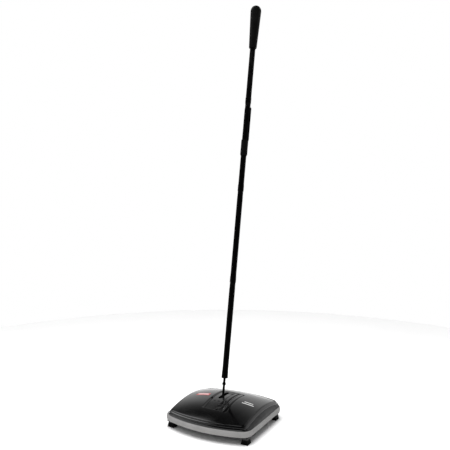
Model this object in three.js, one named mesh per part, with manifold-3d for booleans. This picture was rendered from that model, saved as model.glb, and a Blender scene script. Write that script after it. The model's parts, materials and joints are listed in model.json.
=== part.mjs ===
// Mechanical carpet sweeper: a low floor head with a spinning brush roll, two drop-open dust pans
// and a four-section steel handle that swings on a pin in the middle of the head.
// Millimetres. While the parts are made, X runs across the head, Y from its front to its back and
// Z up from the floor, with the middle of the head at X = Y = 0.

import * as THREE from 'three';
import { mergeVertices } from 'three/addons/utils/BufferGeometryUtils.js';
import Module from 'manifold-3d';

const wasm = await Module();
wasm.setup();

// ---- driving dimensions ----

const GAP = 0.3;                    // clearance between neighbouring pieces

const HEAD_HALF_WIDTH = 124.5;      // bumper face, left and right
const HEAD_HALF_DEPTH = 101;        // bumper face at the corners, front and back
const HEAD_BOW = 26;                // how far the front and back edges bulge at the middle
const CORNER_RADIUS = 22;

const BUMPER = { bottom: 21, top: 36, thickness: 7, rounding: 3 };

const COVER = { foot: 36.3, ledge: 46, wall: 2.5, sideFootX: 122, sideShoulderX: 115.5, edgeX: 108.5 };
COVER.bandInset = 3.5;              // foot of the sloping front and back bands, in from the bumper face
COVER.ledgeInset = 10;              // where the dome starts behind the ledge
COVER.shoulderDrop = 7;             // bevel between the dome's side edge and the side panel
COVER.footLip = 0.5;                // upright strip at the foot of the bands and side panels
COVER.cornerInset = 2;              // outline that rounds the cover's corners
const DOME = { crown: 76, sideCrown: 60, power: 1.9 };

// The panel lies off centre, and the handle with its slot a little off centre the other way.
const PANEL = { left: -21, right: 34.5, front: -73, back: 33, recess: 3, thickness: 2.4 };
const SLOT = { halfWidth: 5.5, front: -21, back: 27 };

const CHASSIS = { bottom: 18, floor: 2.5, wall: 2.5, wellHalfWidth: 89.2, wellHalfLength: 99.2, top: 36 };
CHASSIS.endWall = 2;                // thickness of the walls outside the well
CHASSIS.wheelBayHalfLength = 63;
CHASSIS.shaftHoleRadius = 5.5;
const BULKHEAD = { inner: 89.5, outer: 92, top: 43 };
const HOOD = { deckBottom: 44.4, sheet: 1.6, archRadius: 27.8, halfLength: 91 };

const WHEEL = { radius: 26, tyreInner: 21.9, centreY: 35, innerX: 93.2, outerX: 106, bevel: 1.5 };
WHEEL.hub = { bossRadius: 7, webHalfWidth: 1.5, rimThickness: 2.5 };
const AXLE = { innerX: 88.2, outerX: 116 };
const ROLL_Z = 26;                  // height of the brush roll's shaft and of the wheel axles
const DRUM_RADIUS = WHEEL.centreY - WHEEL.radius - GAP;
const SHAFT_RADIUS = 3;
const SHAFT_HALF_LENGTH = 107;
const BUSH = { radius: 5.2, innerX: 87.8, outerX: 92.6 };
const ROLL = { coreRadius: 9, tipRadius: 25.3, halfLength: 87, stripThickness: 4, bladeThickness: 1.6 };
ROLL.twistPerMm = THREE.MathUtils.degToRad(0.75);

const PAN = { halfWidth: 86.5, innerY: 33, outerY: 90, bottom: 14.5, top: 43.5, wall: 1.6 };
const PAN_HINGE = { y: 95, z: 18.6, rodRadius: 1.7, barrelRadius: 3.6, barrelX: 55, barrelHalfLength: 20 };
PAN_HINGE.webHalfHeight = 1.5;
const PAN_SPRING = { radius: 2.6, wireRadius: 0.5, halfLength: 15, turns: 4 };

const BUTTON = { x: 15.5, y: -56, radius: 9.5, stemRadius: 3, proud: 1.6, depth: 6, stemLength: 6 };
BUTTON.springRadius = 5.2;
BUTTON.springWireRadius = 0.6;
BUTTON.springTurns = 4;

const CORNER_BRUSH = { x: 108, y: 86, width: 16, length: 17, flare: 2, top: 15.7, padMargin: 2 };
const COVER_POST = { x: 50, y: 107.5, radius: 3.6, top: 47, boreRadius: 1.8, boreTop: 37 };
const SCREW = { headRadius: 3.2, headHeight: 2, edge: 0.6, shankRadius: 1.5, tip: 34 };

const PIVOT = { x: -3.4, y: -3, z: 62, pinRadius: 2.7, pinHalfLength: 12.5, eyeRadius: 5.2, eyeHalfLength: 6.5 };
const BRACKET = { x: 9.5, halfThickness: 1.5, halfWidth: 8, bottom: 55.7, top: 69.5 };
const HANDLE_LEAN = THREE.MathUtils.degToRad(10.4);
const ROD_RADIUS = 3.2;
const ROD_COLLAR = { radius: 4.8, bevel: 1, start: 39.3, end: 45.3 };
const TUBE = { start: 57.3, pitch: 256.2, radius: 7.95, bellRadius: 8.5, bellLength: 17, wall: 0.9 };
TUBE.neckRadius = 7.7;
TUBE.neckLength = 16;
TUBE.spigotRadius = 6.6;
TUBE.spigotLength = 30;
TUBE.plugLength = 30;
TUBE.insideGrip = 20;               // how far below the grip's end the top tube stops
const GRIP = { start: 993.3, end: 1124.3, startRadius: 11.3, endRadius: 15.75, boreRadius: 8.3, dome: 17 };
GRIP.topWall = 13;
const SLEEVE = { start: 672.3, collarEnd: 717.5, end: 814.3, collarRadius: 10, clipRadius: 10.9 };
SLEEVE.reach = THREE.MathUtils.degToRad(78);
SLEEVE.bevel = 2;

// ---- materials ----

const material = (color, roughness, metalness = 0) => (
  new THREE.MeshStandardMaterial({ color, roughness, metalness })
);
const glossBlack = material(0x111112, 0.18);
const satinBlack = material(0x18181a, 0.45);
const bumperGrey = material(0x9b9a98, 0.7);
const chassisBlack = material(0x1c1c1d, 0.6);
const bristleBlack = material(0x0d0d0d, 0.9);
const rubber = material(0x202020, 0.8);
const steel = material(0x9a9da0, 0.35, 1);
const tubePaint = material(0x0e0e0f, 0.35, 0.4);
const hubPlastic = material(0x2a2a2b, 0.55);
const gripFoam = material(0x0f0f10, 0.75);

// ---- geometry helpers ----

function solidOf(geometry) {
  const bare = geometry.index ? geometry.clone() : mergeVertices(geometry.clone());
  bare.deleteAttribute('normal');
  bare.deleteAttribute('uv');
  const merged = mergeVertices(bare, 1e-4);
  const vertProperties = new Float32Array(merged.attributes.position.array);
  const triVerts = new Uint32Array(merged.index.array);
  return new wasm.Manifold(new wasm.Mesh({ numProp: 3, vertProperties, triVerts }));
}

function geometryOf(solid) {
  const mesh = solid.getMesh();
  const geometry = new THREE.BufferGeometry();
  geometry.setAttribute('position', new THREE.BufferAttribute(new Float32Array(mesh.vertProperties), 3));
  geometry.setIndex(new THREE.BufferAttribute(new Uint32Array(mesh.triVerts), 1));
  geometry.computeVertexNormals();
  return geometry;
}

const subtractAll = (solid, cutters) => (
  cutters.reduce((rest, cutter) => rest.subtract(solidOf(cutter)), solid)
);
const addAll = (solid, pieces) => (
  pieces.reduce((whole, piece) => whole.add(solidOf(piece)), solid)
);

// A low and a high value, whichever side of zero they come from.
const ordered = (a, b) => [Math.min(a, b), Math.max(a, b)];

// A box between two corners.
function block(x0, x1, y0, y1, z0, z1) {
  const box = new THREE.BoxGeometry(x1 - x0, y1 - y0, z1 - z0);
  return box.translate((x0 + x1) / 2, (y0 + y1) / 2, (z0 + z1) / 2);
}

// A cylinder along X between x0 and x1.
function barX(radius, x0, x1, y, z, segments = 16) {
  const bar = new THREE.CylinderGeometry(radius, radius, x1 - x0, segments);
  return bar.rotateZ(Math.PI / 2).translate((x0 + x1) / 2, y, z);
}

// A cylinder along Z between z0 and z1.
function barZ(radius, z0, z1, x, y, segments = 16) {
  const bar = new THREE.CylinderGeometry(radius, radius, z1 - z0, segments);
  return bar.rotateX(Math.PI / 2).translate(x, y, (z0 + z1) / 2);
}

// A turned solid about Z from a profile of [radius, z] points.
function turned(profile, segments = 20) {
  const points = profile.map(([radius, z]) => new THREE.Vector2(radius, z));
  return new THREE.LatheGeometry(points, segments).rotateX(Math.PI / 2);
}

// A turned ring about Z: its profile closes on itself, away from the axis.
const turnedRing = (profile, segments) => turned([...profile, profile[0]], segments);

// A turned piece laid along X.
const alongX = (geometry) => geometry.rotateY(Math.PI / 2);

// A coil spring about Z from z0 to z1.
function coil(radius, wireRadius, z0, z1, turns) {
  const stepsPerTurn = 8;
  const steps = turns * stepsPerTurn;
  const points = [];
  for (let step = 0; step <= steps; step += 1) {
    const angle = (step / stepsPerTurn) * 2 * Math.PI;
    const z = z0 + wireRadius + ((z1 - z0 - 2 * wireRadius) * step) / steps;
    points.push(new THREE.Vector3(radius * Math.cos(angle), radius * Math.sin(angle), z));
  }
  const section = new THREE.Shape().absarc(0, 0, wireRadius, 0, 2 * Math.PI);
  const path = new THREE.CatmullRomCurve3(points);
  const options = { steps, curveSegments: 3, bevelEnabled: false, extrudePath: path };
  return new THREE.ExtrudeGeometry(section, options);
}

const parts = new THREE.Group();
const handle = new THREE.Group();

function place(parent, name, geometry, look) {
  const mesh = new THREE.Mesh(geometry, look);
  mesh.name = name;
  parent.add(mesh);
  return mesh;
}

// ---- the head's outline in plan ----

// How far the front edge of an outline stands forward of the middle line, at x.
const edgeY = (inset, x) => HEAD_HALF_DEPTH - inset + HEAD_BOW * (1 - (x / HEAD_HALF_WIDTH) ** 2);

// The head's rounded, bow-fronted outline, moved in by an inset.
function footprint(inset) {
  const side = HEAD_HALF_WIDTH - inset;
  const radius = Math.max(CORNER_RADIUS - inset, 8);
  const turnX = side - radius;
  const cornerY = edgeY(inset, side);
  const turnY = edgeY(inset, turnX);
  const middleY = 2 * edgeY(inset, 0) - turnY;
  const shape = new THREE.Shape();
  shape.moveTo(side, radius - cornerY);
  shape.lineTo(side, cornerY - radius);
  shape.quadraticCurveTo(side, cornerY, turnX, turnY);
  shape.quadraticCurveTo(0, middleY, -turnX, turnY);
  shape.quadraticCurveTo(-side, cornerY, -side, cornerY - radius);
  shape.lineTo(-side, radius - cornerY);
  shape.quadraticCurveTo(-side, -cornerY, -turnX, -turnY);
  shape.quadraticCurveTo(0, -middleY, turnX, -turnY);
  shape.quadraticCurveTo(side, -cornerY, side, radius - cornerY);
  return shape;
}

function slab(inset, z0, z1) {
  const options = { depth: z1 - z0, bevelEnabled: false, curveSegments: 5 };
  return new THREE.ExtrudeGeometry(footprint(inset), options).translate(0, 0, z0);
}

// ---- cover ----

// Height of the dome's outer surface.
function domeHeight(x, y) {
  const across = Math.min(Math.abs(x), COVER.edgeX);
  const crown = DOME.sideCrown + (DOME.crown - DOME.sideCrown) * (1 - (across / COVER.edgeX) ** 2);
  const along = Math.min(Math.abs(y) / edgeY(COVER.ledgeInset, across), 1);
  return COVER.ledge + (crown - COVER.ledge) * (1 - along ** DOME.power);
}

// The dome as a block from zBottom up to its surface, moved in and down by skin.
function domeBlock(skin, zBottom) {
  const domeColumns = 10;
  const columns = [-COVER.sideFootX + skin, -COVER.sideShoulderX + skin];
  for (let column = 0; column <= domeColumns; column += 1) {
    columns.push((COVER.edgeX - skin / 2) * ((2 * column) / domeColumns - 1));
  }
  columns.push(COVER.sideShoulderX - skin, COVER.sideFootX - skin);
  const domeRows = 12;
  const rowCount = domeRows + 2;
  const box = new THREE.BoxGeometry(2, 2, 2, columns.length - 1, rowCount, 1);
  const position = box.attributes.position;
  for (let i = 0; i < position.count; i += 1) {
    const column = Math.round(((position.getX(i) + 1) / 2) * (columns.length - 1));
    const row = Math.round(((position.getY(i) + 1) / 2) * rowCount);
    const x = columns[column];
    const onBand = row === 0 || row === rowCount;
    const along = (2 * (row - 1)) / domeRows - 1;
    const y = onBand
      ? Math.sign(row - 1) * (edgeY(COVER.bandInset, x) - skin)
      : along * (edgeY(COVER.ledgeInset, x) - skin);
    let top = domeHeight(x, y * (1 + skin / HEAD_HALF_DEPTH));
    if (Math.abs(x) > COVER.edgeX) top = Math.max(top - COVER.shoulderDrop, COVER.foot + skin + 1);
    if (onBand || column === 0 || column === columns.length - 1) top = COVER.foot + skin + COVER.footLip;
    position.setXYZ(i, x, y, position.getZ(i) > 0 ? top - skin : zBottom);
  }
  return box;
}

function topCover() {
  const { foot, wall, cornerInset } = COVER;
  const above = DOME.crown + 10;
  const outer = solidOf(domeBlock(0, foot)).intersect(solidOf(slab(cornerInset, foot - 1, above)));
  const innerSlab = solidOf(slab(cornerInset + wall, foot - 3, above));
  const inner = solidOf(domeBlock(wall, foot - 2)).intersect(innerSlab);
  const { left, right, front, back } = PANEL;
  const opening = block(left - GAP, right + GAP, front - GAP, back + GAP, foot, above);
  let shell = subtractAll(outer.subtract(inner), [opening]);
  const { radius, top, boreRadius, boreTop } = COVER_POST;
  const postFoot = CHASSIS.bottom + CHASSIS.floor + GAP;
  for (const [x, y] of postPlaces()) {
    shell = addAll(shell, [barZ(radius, postFoot, top, x, y, 12)]);
    shell = subtractAll(shell, [barZ(boreRadius, postFoot - 1, boreTop, x, y, 8)]);
  }
  return geometryOf(shell);
}

function postPlaces() {
  return [[-1, -1], [1, -1], [-1, 1], [1, 1]].map(([sx, sy]) => [sx * COVER_POST.x, sy * COVER_POST.y]);
}

function centerPanel() {
  const plate = new THREE.BoxGeometry(1, 1, 1, 4, 10, 1).translate(0.5, 0.5, 0);
  const position = plate.attributes.position;
  for (let i = 0; i < position.count; i += 1) {
    const x = THREE.MathUtils.lerp(PANEL.left, PANEL.right, position.getX(i));
    const y = THREE.MathUtils.lerp(PANEL.front, PANEL.back, position.getY(i));
    const face = domeHeight(x, y) - PANEL.recess;
    position.setXYZ(i, x, y, position.getZ(i) > 0 ? face : face - PANEL.thickness);
  }
  return geometryOf(subtractAll(solidOf(plate), [
    block(PIVOT.x - SLOT.halfWidth, PIVOT.x + SLOT.halfWidth, SLOT.front, SLOT.back, COVER.foot, 2 * DOME.crown),
    barZ(BUTTON.radius + 2 * GAP, COVER.foot, 2 * DOME.crown, BUTTON.x, BUTTON.y),
  ]));
}

const buttonFace = domeHeight(BUTTON.x, BUTTON.y) - PANEL.recess + BUTTON.proud;

// The release button: a shallow cap with a stem that reaches down through its spring.
function releaseButton() {
  const { x, y, radius, depth, stemRadius, stemLength } = BUTTON;
  const rim = buttonFace - 1;
  const foot = buttonFace - depth;
  const bevel = 1.5;
  const cap = turned([
    [0, foot], [radius, foot], [radius, rim], [radius - bevel, buttonFace], [0, buttonFace],
  ]);
  const stem = barZ(stemRadius, foot - stemLength, foot + 0.5, x, y, 12);
  return geometryOf(solidOf(cap.translate(x, y, 0)).add(solidOf(stem)));
}

function buttonSpring() {
  const top = buttonFace - BUTTON.depth - GAP;
  const bottom = HOOD.deckBottom + HOOD.sheet + GAP;
  const { x, y, springRadius, springWireRadius, springTurns } = BUTTON;
  return coil(springRadius, springWireRadius, bottom, top, springTurns).translate(x, y, 0);
}

// ---- bumper and chassis ----

function bumper() {
  const { bottom, top, rounding, thickness } = BUMPER;
  const options = { depth: top - bottom - 2 * rounding, bevelThickness: rounding, bevelSize: rounding };
  Object.assign(options, { bevelOffset: -rounding, bevelSegments: 2, curveSegments: 5 });
  const ring = new THREE.ExtrudeGeometry(footprint(0), options).translate(0, 0, bottom + rounding);
  return geometryOf(subtractAll(solidOf(ring), [slab(thickness, bottom - 1, top + 1)]));
}

function chassis() {
  const inset = BUMPER.thickness + GAP;
  const floorTop = CHASSIS.bottom + CHASSIS.floor;
  const { bottom, top, wall, endWall, wellHalfWidth, wellHalfLength, wheelBayHalfLength } = CHASSIS;
  const endWallTop = BULKHEAD.top - 3;
  const well = block(-wellHalfWidth, wellHalfWidth, -wellHalfLength, wellHalfLength, 0, DOME.crown);
  let tray = solidOf(slab(inset, bottom, top));
  tray = subtractAll(tray, [slab(inset + wall, floorTop, top + 1), well]);
  for (const side of [-1, 1]) {
    const endY = ordered(side * wellHalfLength, side * (wellHalfLength + endWall));
    const bulkheadX = ordered(side * BULKHEAD.inner, side * BULKHEAD.outer);
    const wheelBayX = ordered(side * (BULKHEAD.outer + GAP), side * (WHEEL.outerX + wall));
    tray = addAll(tray, [
      block(-BULKHEAD.outer, BULKHEAD.outer, ...endY, bottom, endWallTop),
      block(...bulkheadX, -wellHalfLength - 1, wellHalfLength + 1, bottom, BULKHEAD.top),
    ]);
    tray = subtractAll(tray, [block(...wheelBayX, -wheelBayHalfLength, wheelBayHalfLength, 0, floorTop + 1)]);
  }
  const padHalfWidth = CORNER_BRUSH.width / 2 + CORNER_BRUSH.padMargin;
  const padHalfLength = CORNER_BRUSH.length / 2 + CORNER_BRUSH.padMargin;
  const padBottom = CORNER_BRUSH.top + GAP;
  for (const [x, y] of cornerPlaces()) {
    const sides = [x - padHalfWidth, x + padHalfWidth, y - padHalfLength, y + padHalfLength];
    tray = addAll(tray, [block(...sides, padBottom, floorTop - 1)]);
  }
  const wallReach = BULKHEAD.outer + 1;
  const hingeHole = PAN_HINGE.rodRadius + GAP;
  const axleHole = SHAFT_RADIUS + GAP;
  const reach = HEAD_HALF_WIDTH;
  return geometryOf(subtractAll(tray, [
    barX(CHASSIS.shaftHoleRadius, -wallReach, wallReach, 0, ROLL_Z),
    ...[-1, 1].map((side) => barX(axleHole, -reach, reach, side * WHEEL.centreY, ROLL_Z, 12)),
    ...[-1, 1].map((side) => barX(hingeHole, -wallReach, wallReach, side * PAN_HINGE.y, PAN_HINGE.z, 8)),
    ...postPlaces().map(([x, y]) => barZ(COVER_POST.boreRadius, 0, floorTop + 1, x, y, 8)),
  ]));
}

// The sheet over the brush roll and the pans: a flat deck with an arch over the roll.
function brushHood() {
  const { deckBottom, sheet, archRadius, halfLength } = HOOD;
  const rise = deckBottom - ROLL_Z;
  const inner = Math.acos(rise / archRadius);
  const outer = Math.acos((rise + sheet) / (archRadius + sheet));
  const shape = new THREE.Shape();
  shape.moveTo(-halfLength, rise);
  shape.lineTo(-archRadius * Math.sin(inner), rise);
  shape.absarc(0, 0, archRadius, Math.PI / 2 + inner, Math.PI / 2 - inner, true);
  shape.lineTo(halfLength, rise);
  shape.lineTo(halfLength, rise + sheet);
  shape.lineTo((archRadius + sheet) * Math.sin(outer), rise + sheet);
  shape.absarc(0, 0, archRadius + sheet, Math.PI / 2 - outer, Math.PI / 2 + outer, false);
  shape.lineTo(-halfLength, rise + sheet);
  const length = 2 * (BULKHEAD.inner - GAP);
  const options = { depth: length, bevelEnabled: false, curveSegments: 8 };
  const sheetMetal = new THREE.ExtrudeGeometry(shape, options);
  return sheetMetal.rotateX(Math.PI / 2).rotateZ(Math.PI / 2).translate(-length / 2, 0, ROLL_Z);
}

function coverScrew(x, y) {
  const { headRadius, headHeight, edge, shankRadius, tip } = SCREW;
  const top = CHASSIS.bottom - GAP;
  const bottom = top - headHeight;
  const screw = turned([
    [0, bottom], [headRadius - edge, bottom], [headRadius, bottom + edge], [headRadius, top],
    [shankRadius, top], [shankRadius, tip], [0, tip],
  ], 12);
  return screw.translate(x, y, 0);
}

// ---- dust pans ----

// A pan open at the top and towards the brush roll, on two hinge barrels at its outer end.
function dustPan(side) {
  const { halfWidth, innerY, outerY, bottom, top, wall } = PAN;
  const spanY = (near, far) => ordered(side * near, side * far);
  const shell = solidOf(block(-halfWidth, halfWidth, ...spanY(innerY, outerY), bottom, top));
  const insideY = spanY(innerY - 5, outerY - wall);
  const inside = block(wall - halfWidth, halfWidth - wall, ...insideY, bottom + wall, top + 5);
  let pan = subtractAll(shell, [inside]);
  for (const end of [-1, 1]) {
    const { y, z, barrelRadius, barrelX, barrelHalfLength, webHalfHeight } = PAN_HINGE;
    const x0 = end * barrelX - barrelHalfLength;
    const x1 = end * barrelX + barrelHalfLength;
    pan = addAll(pan, [
      barX(barrelRadius, x0, x1, side * y, z, 12),
      block(x0, x1, ...spanY(outerY - 0.5, y), z - webHalfHeight, z + webHalfHeight),
    ]);
  }
  const hole = barX(PAN_HINGE.rodRadius + GAP, -halfWidth, halfWidth, side * PAN_HINGE.y, PAN_HINGE.z, 8);
  return geometryOf(subtractAll(pan, [hole]));
}

function panRod(side) {
  return barX(PAN_HINGE.rodRadius, -BULKHEAD.outer, BULKHEAD.outer, side * PAN_HINGE.y, PAN_HINGE.z, 8);
}

function panSpring(side) {
  const { radius, wireRadius, halfLength, turns } = PAN_SPRING;
  const spring = coil(radius, wireRadius, -halfLength, halfLength, turns);
  return alongX(spring).translate(0, side * PAN_HINGE.y, PAN_HINGE.z);
}

// ---- brush roll ----

function brushCore() {
  const core = turnedRing([
    [SHAFT_RADIUS + GAP, -ROLL.halfLength],
    [ROLL.coreRadius, -ROLL.halfLength],
    [ROLL.coreRadius, ROLL.halfLength],
    [SHAFT_RADIUS + GAP, ROLL.halfLength],
  ]);
  return alongX(core).translate(0, 0, ROLL_Z);
}

// A strip that stands off the core and winds round it along X.
function rollStrip(startAngle, thickness) {
  const length = 2 * ROLL.halfLength - 1;
  const height = ROLL.tipRadius - ROLL.coreRadius - GAP;
  const strip = new THREE.BoxGeometry(length, thickness, height, 14, 1, 1);
  strip.translate(0, 0, ROLL.coreRadius + GAP + height / 2);
  const position = strip.attributes.position;
  const point = new THREE.Vector3();
  const axis = new THREE.Vector3(1, 0, 0);
  for (let i = 0; i < position.count; i += 1) {
    point.fromBufferAttribute(position, i);
    point.applyAxisAngle(axis, startAngle + ROLL.twistPerMm * point.x);
    position.setXYZ(i, point.x, point.y, point.z);
  }
  return strip.translate(0, 0, ROLL_Z);
}

function driveDrum(side) {
  const x = (side * (WHEEL.innerX + WHEEL.outerX)) / 2;
  const half = (WHEEL.outerX - WHEEL.innerX) / 2;
  const bore = SHAFT_RADIUS + GAP;
  const drum = turnedRing([[bore, -half], [DRUM_RADIUS, -half], [DRUM_RADIUS, half], [bore, half]]);
  return alongX(drum).translate(x, 0, ROLL_Z);
}

function shaftBush(side) {
  const { radius, innerX, outerX } = BUSH;
  const bore = SHAFT_RADIUS + GAP;
  const bush = turnedRing([[bore, innerX], [radius, innerX], [radius, outerX], [bore, outerX]], 16);
  return alongX(bush).rotateZ(side > 0 ? 0 : Math.PI).translate(0, 0, ROLL_Z);
}

// ---- wheels ----

const wheelMiddleX = (WHEEL.innerX + WHEEL.outerX) / 2;
const wheelHalfWidth = (WHEEL.outerX - WHEEL.innerX) / 2;

function tyre() {
  const half = wheelHalfWidth;
  const { radius, tyreInner, bevel } = WHEEL;
  return alongX(turnedRing([
    [tyreInner, -half], [radius - bevel, -half], [radius, bevel - half],
    [radius, half - bevel], [radius - bevel, half], [tyreInner, half],
  ], 24));
}

function wheelHub() {
  const half = wheelHalfWidth;
  const rim = WHEEL.tyreInner - GAP;
  const bore = SHAFT_RADIUS + GAP;
  const { bossRadius, webHalfWidth, rimThickness } = WHEEL.hub;
  const inner = rim - rimThickness;
  return alongX(turnedRing([
    [bore, -half], [bossRadius, -half], [bossRadius, -webHalfWidth], [inner, -webHalfWidth],
    [inner, -half], [rim, -half], [rim, half], [inner, half],
    [inner, webHalfWidth], [bossRadius, webHalfWidth], [bossRadius, half], [bore, half],
  ], 20));
}

// ---- corner brushes ----

function cornerPlaces() {
  return [[-1, -1], [1, -1], [-1, 1], [1, 1]].map(([sx, sy]) => [sx * CORNER_BRUSH.x, sy * CORNER_BRUSH.y]);
}

// A block of bristles, wider at the floor than at its top.
function cornerBrush(x, y) {
  const { width, length, flare, top } = CORNER_BRUSH;
  const tuft = new THREE.BoxGeometry(width, length, top, 1, 1, 1).translate(0, 0, top / 2);
  const position = tuft.attributes.position;
  for (let i = 0; i < position.count; i += 1) {
    if (position.getZ(i) < top / 2) {
      position.setX(i, position.getX(i) + Math.sign(position.getX(i)) * flare);
      position.setY(i, position.getY(i) + Math.sign(position.getY(i)) * flare);
    }
  }
  return tuft.translate(x, y, 0);
}

// ---- handle pivot ----

// A plate that stands on the sheet's arch and holds one end of the pivot pin.
function pivotBracket(side) {
  const { x, halfThickness, halfWidth, bottom, top } = BRACKET;
  const middle = PIVOT.x + side * x;
  const faces = [middle - halfThickness, middle + halfThickness, PIVOT.y - halfWidth, PIVOT.y + halfWidth];
  const pinEnds = [PIVOT.x - PIVOT.pinHalfLength, PIVOT.x + PIVOT.pinHalfLength];
  const pinHole = barX(PIVOT.pinRadius + GAP, ...pinEnds, PIVOT.y, PIVOT.z, 12);
  return geometryOf(subtractAll(solidOf(block(...faces, bottom, top)), [pinHole]));
}

// ---- handle, along its own Z from the pivot ----

function handleRod() {
  const { pinRadius, eyeRadius, eyeHalfLength } = PIVOT;
  const rod = solidOf(barZ(ROD_RADIUS, 0, TUBE.start + TUBE.plugLength + 2, 0, 0, 12));
  const withEye = addAll(rod, [barX(eyeRadius, -eyeHalfLength, eyeHalfLength, 0, 0)]);
  const pinHole = barX(pinRadius + GAP, -eyeHalfLength - 1, eyeHalfLength + 1, 0, 0, 12);
  return geometryOf(subtractAll(withEye, [pinHole]));
}

function rodCollar() {
  const bore = ROD_RADIUS + GAP;
  const { radius, bevel, start, end } = ROD_COLLAR;
  const face = radius - bevel / 2;
  return turnedRing([
    [bore, start], [face, start], [radius, start + bevel], [radius, end - bevel], [face, end], [bore, end],
  ], 12);
}

function tubePlug() {
  const bore = ROD_RADIUS + GAP;
  const radius = TUBE.radius - TUBE.wall - GAP;
  const start = TUBE.start + 1;
  const end = TUBE.start + TUBE.plugLength;
  return turnedRing([[bore, start], [radius, start], [radius, end], [bore, end]], 16);
}

// A tube with a belled lower end and, below the top section, a swaged spigot at its upper end.
function handleTube(start, end, hasSpigot) {
  const { radius, bellRadius, bellLength, wall, neckRadius, neckLength, spigotRadius, spigotLength } = TUBE;
  const outer = [[bellRadius, start], [bellRadius, start + bellLength], [radius, start + bellLength + 1]];
  const bore = radius - wall;
  if (!hasSpigot) return turnedRing([...outer, [radius, end], [bore, end], [bore, start]], 16);
  const neck = end - neckLength;
  const spigotTop = end + spigotLength;
  return turnedRing([
    ...outer,
    [radius, neck], [neckRadius, neck + 1], [neckRadius, end - GAP], [spigotRadius, end - GAP],
    [spigotRadius, spigotTop], [spigotRadius - wall, spigotTop],
    [spigotRadius - wall, end], [bore, neck], [bore, start],
  ], 16);
}

// A hand sleeve: a full collar with an open clip above it on the back of the tube.
function handSleeve() {
  const { start, collarEnd, end, collarRadius, clipRadius, reach, bevel } = SLEEVE;
  const bore = TUBE.radius + GAP;
  const collar = turnedRing([
    [bore, start], [collarRadius - bevel, start], [collarRadius, start + bevel],
    [collarRadius, collarEnd], [bore, collarEnd],
  ], 20);
  const shape = new THREE.Shape();
  shape.absarc(0, 0, clipRadius, Math.PI / 2 - reach, Math.PI / 2 + reach, false);
  shape.absarc(0, 0, bore, Math.PI / 2 + reach, Math.PI / 2 - reach, true);
  const options = { depth: end - collarEnd + 2, bevelEnabled: false, curveSegments: 10 };
  const clip = new THREE.ExtrudeGeometry(shape, options).translate(0, 0, collarEnd - 2);
  return geometryOf(solidOf(collar).add(solidOf(clip)));
}

function handGrip() {
  const { start, end, startRadius, endRadius, boreRadius, dome, topWall } = GRIP;
  const profile = [
    [boreRadius, start], [startRadius - 1.5, start], [startRadius, start + 2], [endRadius, end - dome],
  ];
  const roundSteps = 5;
  for (let step = 1; step <= roundSteps; step += 1) {
    const angle = (step / roundSteps) * (Math.PI / 2);
    profile.push([endRadius * Math.cos(angle), end - dome + dome * Math.sin(angle)]);
  }
  profile[profile.length - 1][0] = 0;
  profile.push([0, end - topWall], [boreRadius, end - topWall], [boreRadius, start]);
  return turned(profile, 20);
}

// ---- assembly: the head ----

place(parts, 'top_cover', topCover(), glossBlack);
place(parts, 'center_panel', centerPanel(), satinBlack);
place(parts, 'bumper', bumper(), bumperGrey);
place(parts, 'chassis', chassis(), chassisBlack);
place(parts, 'brush_hood', brushHood(), chassisBlack);
place(parts, 'release_button', releaseButton(), satinBlack);
place(parts, 'button_spring', buttonSpring(), steel);
for (const [name, side] of [['front', -1], ['rear', 1]]) {
  place(parts, `${name}_dust_pan`, dustPan(side), hubPlastic);
  place(parts, `${name}_pan_rod`, panRod(side), steel);
  place(parts, `${name}_pan_spring`, panSpring(side), steel);
}

place(parts, 'brush_core', brushCore(), hubPlastic);
place(parts, 'brush_shaft', barX(SHAFT_RADIUS, -SHAFT_HALF_LENGTH, SHAFT_HALF_LENGTH, 0, ROLL_Z, 12), steel);
[['bristle_row_a', 0], ['bristle_row_b', Math.PI]].forEach(([name, angle]) => {
  place(parts, name, rollStrip(angle, ROLL.stripThickness), bristleBlack);
});
[['rubber_blade_a', Math.PI / 2], ['rubber_blade_b', 1.5 * Math.PI]].forEach(([name, angle]) => {
  place(parts, name, rollStrip(angle, ROLL.bladeThickness), rubber);
});
for (const [name, side] of [['left', -1], ['right', 1]]) {
  place(parts, `${name}_drive_drum`, driveDrum(side), rubber);
  place(parts, `${name}_shaft_bush`, shaftBush(side), steel);
  place(parts, `${name}_pivot_bracket`, pivotBracket(side), steel);
}
const pinEnds = [PIVOT.x - PIVOT.pinHalfLength, PIVOT.x + PIVOT.pinHalfLength];
place(parts, 'pivot_pin', barX(PIVOT.pinRadius, ...pinEnds, PIVOT.y, PIVOT.z, 12), steel);

for (const [end, sy] of [['front', -1], ['rear', 1]]) {
  for (const [hand, sx] of [['left', -1], ['right', 1]]) {
    const corner = `${end}_${hand}`;
    const wheel = new THREE.Group();
    wheel.position.set(sx * wheelMiddleX, sy * WHEEL.centreY, ROLL_Z);
    place(wheel, `${corner}_tyre`, tyre(), rubber);
    place(wheel, `${corner}_wheel_hub`, wheelHub(), hubPlastic);
    parts.add(wheel);
    const axleX = ordered(sx * AXLE.innerX, sx * AXLE.outerX);
    const axle = barX(SHAFT_RADIUS, ...axleX, sy * WHEEL.centreY, ROLL_Z, 12);
    place(parts, `${corner}_wheel_axle`, axle, steel);
    const brush = cornerBrush(sx * CORNER_BRUSH.x, sy * CORNER_BRUSH.y);
    place(parts, `${corner}_corner_brush`, brush, bristleBlack);
    place(parts, `${corner}_cover_screw`, coverScrew(sx * COVER_POST.x, sy * COVER_POST.y), steel);
  }
}

// ---- assembly: the handle, leaning back from its pivot ----

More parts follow.
